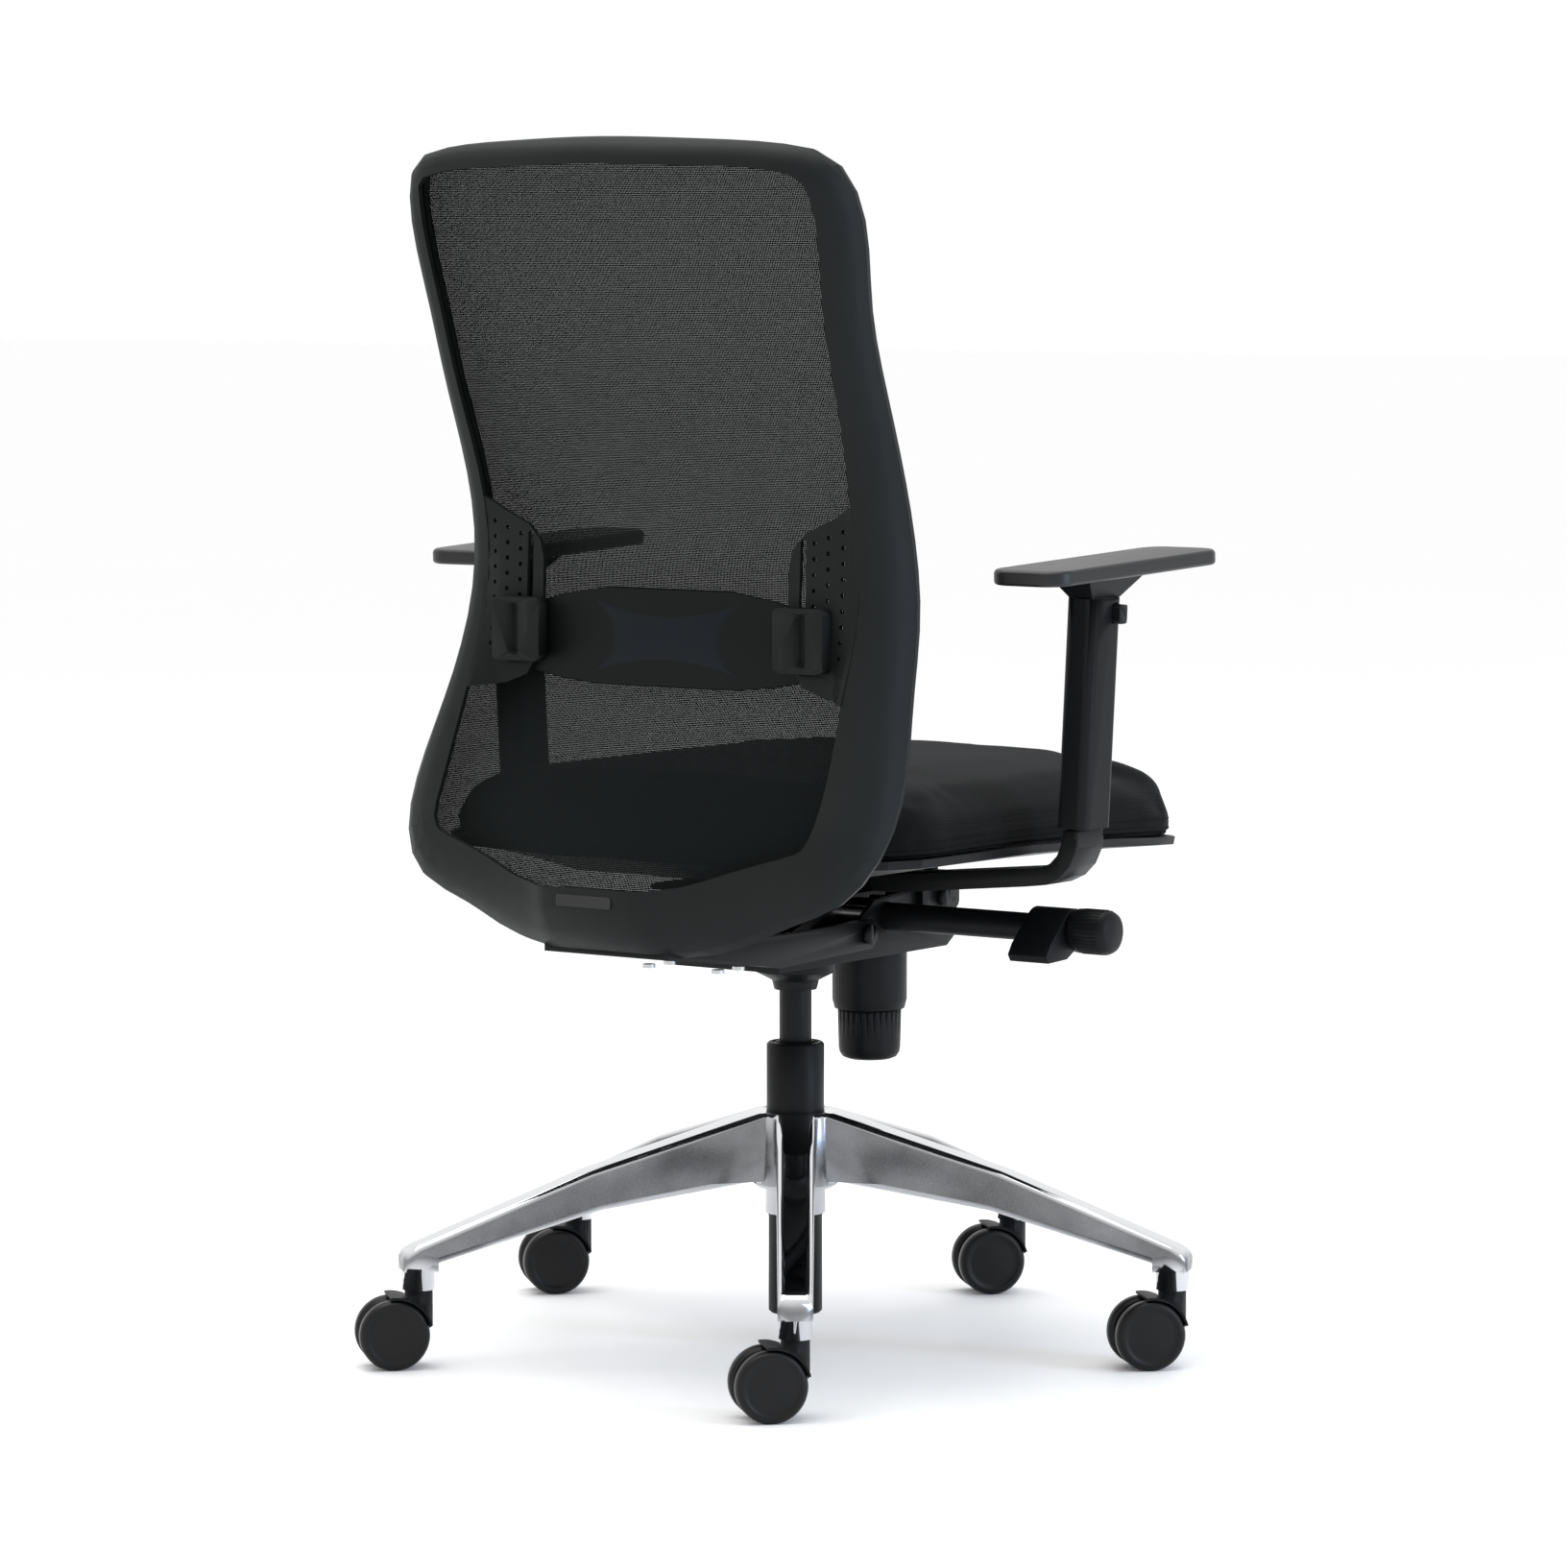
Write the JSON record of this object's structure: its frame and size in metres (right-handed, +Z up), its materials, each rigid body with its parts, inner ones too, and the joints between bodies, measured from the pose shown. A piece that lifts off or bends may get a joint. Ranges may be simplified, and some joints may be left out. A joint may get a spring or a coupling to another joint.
{
  "type": "swivel office chair",
  "caption": "Height-adjustable office chair with mesh back, lumbar slider, adjustable armrests, synchro recline and a polished five-star caster base.",
  "frame": {"origin": "floor level on the column's axis", "axes": "+Z up, the sitter faces -Y, the chair's right-hand side is -X"},
  "size_m": [0.7138, 0.6867, 1.043],
  "materials": {
    "polished_aluminium": "mirror polished",
    "black_plastic": "fine moulded grain",
    "frame_plastic": "satin moulded",
    "mesh_fabric": "woven mesh",
    "seat_fabric": "woven upholstery",
    "black_steel": "powder coated",
    "bright_steel": "ground",
    "pad_foam": "soft integral-skin foam",
    "caster_tread": "hard nylon"
  },
  "bodies": {
    "base": {"base_star": "polished_aluminium", "caster_stems": "bright_steel", "column_tube": "black_steel", "column_bushing": "black_plastic", "thrust_bearing": "bright_steel"},
    "spindle": {"piston_rod": "bright_steel", "rod_clip": "black_steel"},
    "chassis": {"gas_cylinder": "black_steel", "mechanism_housing": "black_steel", "tension_tower": "black_plastic", "tension_spring": "black_steel", "pivot_pins": "black_steel", "lever_tube": "black_plastic"},
    "tension_adjuster": {"tension_knob": "black_plastic", "tension_bolt": "bright_steel"},
    "height_lever": {"height_paddle": "black_plastic", "paddle_shaft": "bright_steel"},
    "valve": {"valve_pin": "bright_steel"},
    "lock": {"lock_knob": "black_plastic"},
    "back": {"back_yoke": "black_steel", "back_frame": "frame_plastic", "slot_insert": "black_plastic", "mesh_carrier": "frame_plastic", "back_mesh": "mesh_fabric", "lumbar_bracket_left": "frame_plastic", "lumbar_bracket_right": "frame_plastic"},
    "lumbar": {"lumbar_pad": "black_plastic", "lumbar_grips": "frame_plastic"},
    "seat": {"seat_plate": "black_steel", "seat_shell": "black_plastic", "seat_cushion": "seat_fabric", "seat_bolts": "black_steel", "arm_bracket_left": "black_steel", "arm_bracket_right": "black_steel"},
    "arm_left": {"arm_sleeve_left": "black_plastic", "arm_pad_left": "pad_foam"},
    "button_left": {"arm_button_left": "black_plastic"},
    "arm_right": {"arm_sleeve_right": "black_plastic", "arm_pad_right": "pad_foam"},
    "button_right": {"arm_button_right": "black_plastic"},
    "caster_1": {"caster_1_housing": "black_plastic", "caster_1_axle": "bright_steel"},
    "caster_1_left": {"caster_1_wheel_left": "caster_tread"},
    "caster_1_right": {"caster_1_wheel_right": "caster_tread"},
    "caster_2": {"caster_2_housing": "black_plastic", "caster_2_axle": "bright_steel"},
    "caster_2_left": {"caster_2_wheel_left": "caster_tread"},
    "caster_2_right": {"caster_2_wheel_right": "caster_tread"},
    "caster_3": {"caster_3_housing": "black_plastic", "caster_3_axle": "bright_steel"},
    "caster_3_left": {"caster_3_wheel_left": "caster_tread"},
    "caster_3_right": {"caster_3_wheel_right": "caster_tread"},
    "caster_4": {"caster_4_housing": "black_plastic", "caster_4_axle": "bright_steel"},
    "caster_4_left": {"caster_4_wheel_left": "caster_tread"},
    "caster_4_right": {"caster_4_wheel_right": "caster_tread"},
    "caster_5": {"caster_5_housing": "black_plastic", "caster_5_axle": "bright_steel"},
    "caster_5_left": {"caster_5_wheel_left": "caster_tread"},
    "caster_5_right": {"caster_5_wheel_right": "caster_tread"}
  },
  "joints": [
    {"name": "seat_swivel", "type": "hinge", "parent": "base", "child": "spindle", "pos_m": [0, 0, 0.04], "axis": [0, 0, 1], "continuous": true},
    {"name": "seat_height", "type": "slide", "parent": "spindle", "child": "chassis", "axis": [0, 0, 1], "range_m": [-0.044, 0.055]},
    {"name": "recline", "type": "hinge", "parent": "chassis", "child": "back", "pos_m": [0, -0.017, 0.362], "axis": [-1, 0, 0], "range_deg": [0, 18], "stiffness_Nm_per_rad": 60, "springref_deg": -34.38},
    {"name": "seat_tilt", "type": "hinge", "parent": "chassis", "child": "seat", "pos_m": [0, -0.135, 0.385], "axis": [-1, 0, 0], "range_deg": [0, 5.5]},
    {"name": "tension_turn", "type": "hinge", "parent": "chassis", "child": "tension_adjuster", "pos_m": [0, -0.114, 0.26], "axis": [0, 0, 1], "range_deg": [-720, 720]},
    {"name": "height_lever_lift", "type": "hinge", "parent": "chassis", "child": "height_lever", "pos_m": [0, -0.06, 0.3735], "axis": [-1, 0, 0], "range_deg": [0, 4.5], "stiffness_Nm_per_rad": 3, "springref_deg": -8.59},
    {"name": "valve_press", "type": "slide", "parent": "chassis", "child": "valve", "axis": [0, 0, -1], "range_m": [0, 0.006]},
    {"name": "recline_lock", "type": "hinge", "parent": "chassis", "child": "lock", "pos_m": [0, -0.06, 0.3735], "axis": [-1, 0, 0], "range_deg": [0, 90]},
    {"name": "arm_height_left", "type": "slide", "parent": "seat", "child": "arm_left", "axis": [0.0506, 0, 0.9987], "range_m": [0, 0.07]},
    {"name": "arm_button_press_left", "type": "slide", "parent": "arm_left", "child": "button_left", "axis": [-0.9987, 0, 0.0506], "range_m": [0, 0.003], "stiffness_N_per_m": 400, "springref_m": -0.004},
    {"name": "arm_height_right", "type": "slide", "parent": "seat", "child": "arm_right", "axis": [-0.0506, 0, 0.9987], "range_m": [0, 0.07]},
    {"name": "arm_button_press_right", "type": "slide", "parent": "arm_right", "child": "button_right", "axis": [0.9987, 0, 0.0506], "range_m": [0, 0.003], "stiffness_N_per_m": 400, "springref_m": -0.004},
    {"name": "lumbar_height", "type": "slide", "parent": "back", "child": "lumbar", "axis": [0, -0.04, 0.9992], "range_m": [0, 0.045]},
    {"name": "caster_1_swivel", "type": "hinge", "parent": "base", "child": "caster_1", "pos_m": [-0.19387, 0.27687, 0.06], "axis": [0, 0, 1], "continuous": true},
    {"name": "caster_1_spin_left", "type": "hinge", "parent": "caster_1", "child": "caster_1_left", "pos_m": [-0.17818, 0.29369, 0.03], "axis": [-0.7314, 0.682, 0], "continuous": true},
    {"name": "caster_1_spin_right", "type": "hinge", "parent": "caster_1", "child": "caster_1_right", "pos_m": [-0.17818, 0.29369, 0.03], "axis": [-0.7314, 0.682, 0], "continuous": true},
    {"name": "caster_2_swivel", "type": "hinge", "parent": "base", "child": "caster_2", "pos_m": [-0.32323, -0.09882, 0.06], "axis": [0, 0, 1], "continuous": true},
    {"name": "caster_2_spin_left", "type": "hinge", "parent": "caster_2", "child": "caster_2_left", "pos_m": [-0.30755, -0.082, 0.03], "axis": [-0.7314, 0.682, 0], "continuous": true},
    {"name": "caster_2_spin_right", "type": "hinge", "parent": "caster_2", "child": "caster_2_right", "pos_m": [-0.30755, -0.082, 0.03], "axis": [-0.7314, 0.682, 0], "continuous": true},
    {"name": "caster_3_swivel", "type": "hinge", "parent": "base", "child": "caster_3", "pos_m": [-0.0059, -0.33795, 0.06], "axis": [0, 0, 1], "continuous": true},
    {"name": "caster_3_spin_left", "type": "hinge", "parent": "caster_3", "child": "caster_3_left", "pos_m": [0.00979, -0.32113, 0.03], "axis": [-0.7314, 0.682, 0], "continuous": true},
    {"name": "caster_3_spin_right", "type": "hinge", "parent": "caster_3", "child": "caster_3_right", "pos_m": [0.00979, -0.32113, 0.03], "axis": [-0.7314, 0.682, 0], "continuous": true},
    {"name": "caster_4_swivel", "type": "hinge", "parent": "base", "child": "caster_4", "pos_m": [0.31959, -0.11004, 0.06], "axis": [0, 0, 1], "continuous": true},
    {"name": "caster_4_spin_left", "type": "hinge", "parent": "caster_4", "child": "caster_4_left", "pos_m": [0.33527, -0.09322, 0.03], "axis": [-0.7314, 0.682, 0], "continuous": true},
    {"name": "caster_4_spin_right", "type": "hinge", "parent": "caster_4", "child": "caster_4_right", "pos_m": [0.33527, -0.09322, 0.03], "axis": [-0.7314, 0.682, 0], "continuous": true},
    {"name": "caster_5_swivel", "type": "hinge", "parent": "base", "child": "caster_5", "pos_m": [0.20341, 0.26994, 0.06], "axis": [0, 0, 1], "continuous": true},
    {"name": "caster_5_spin_left", "type": "hinge", "parent": "caster_5", "child": "caster_5_left", "pos_m": [0.2191, 0.28676, 0.03], "axis": [-0.7314, 0.682, 0], "continuous": true},
    {"name": "caster_5_spin_right", "type": "hinge", "parent": "caster_5", "child": "caster_5_right", "pos_m": [0.2191, 0.28676, 0.03], "axis": [-0.7314, 0.682, 0], "continuous": true}
  ],
  "couplings": [
    {"joint": "seat_tilt", "follows": "recline", "ratio": 0.3},
    {"joint": "valve_press", "follows": "height_lever_lift", "m_per_rad": 0.06}
  ]
}
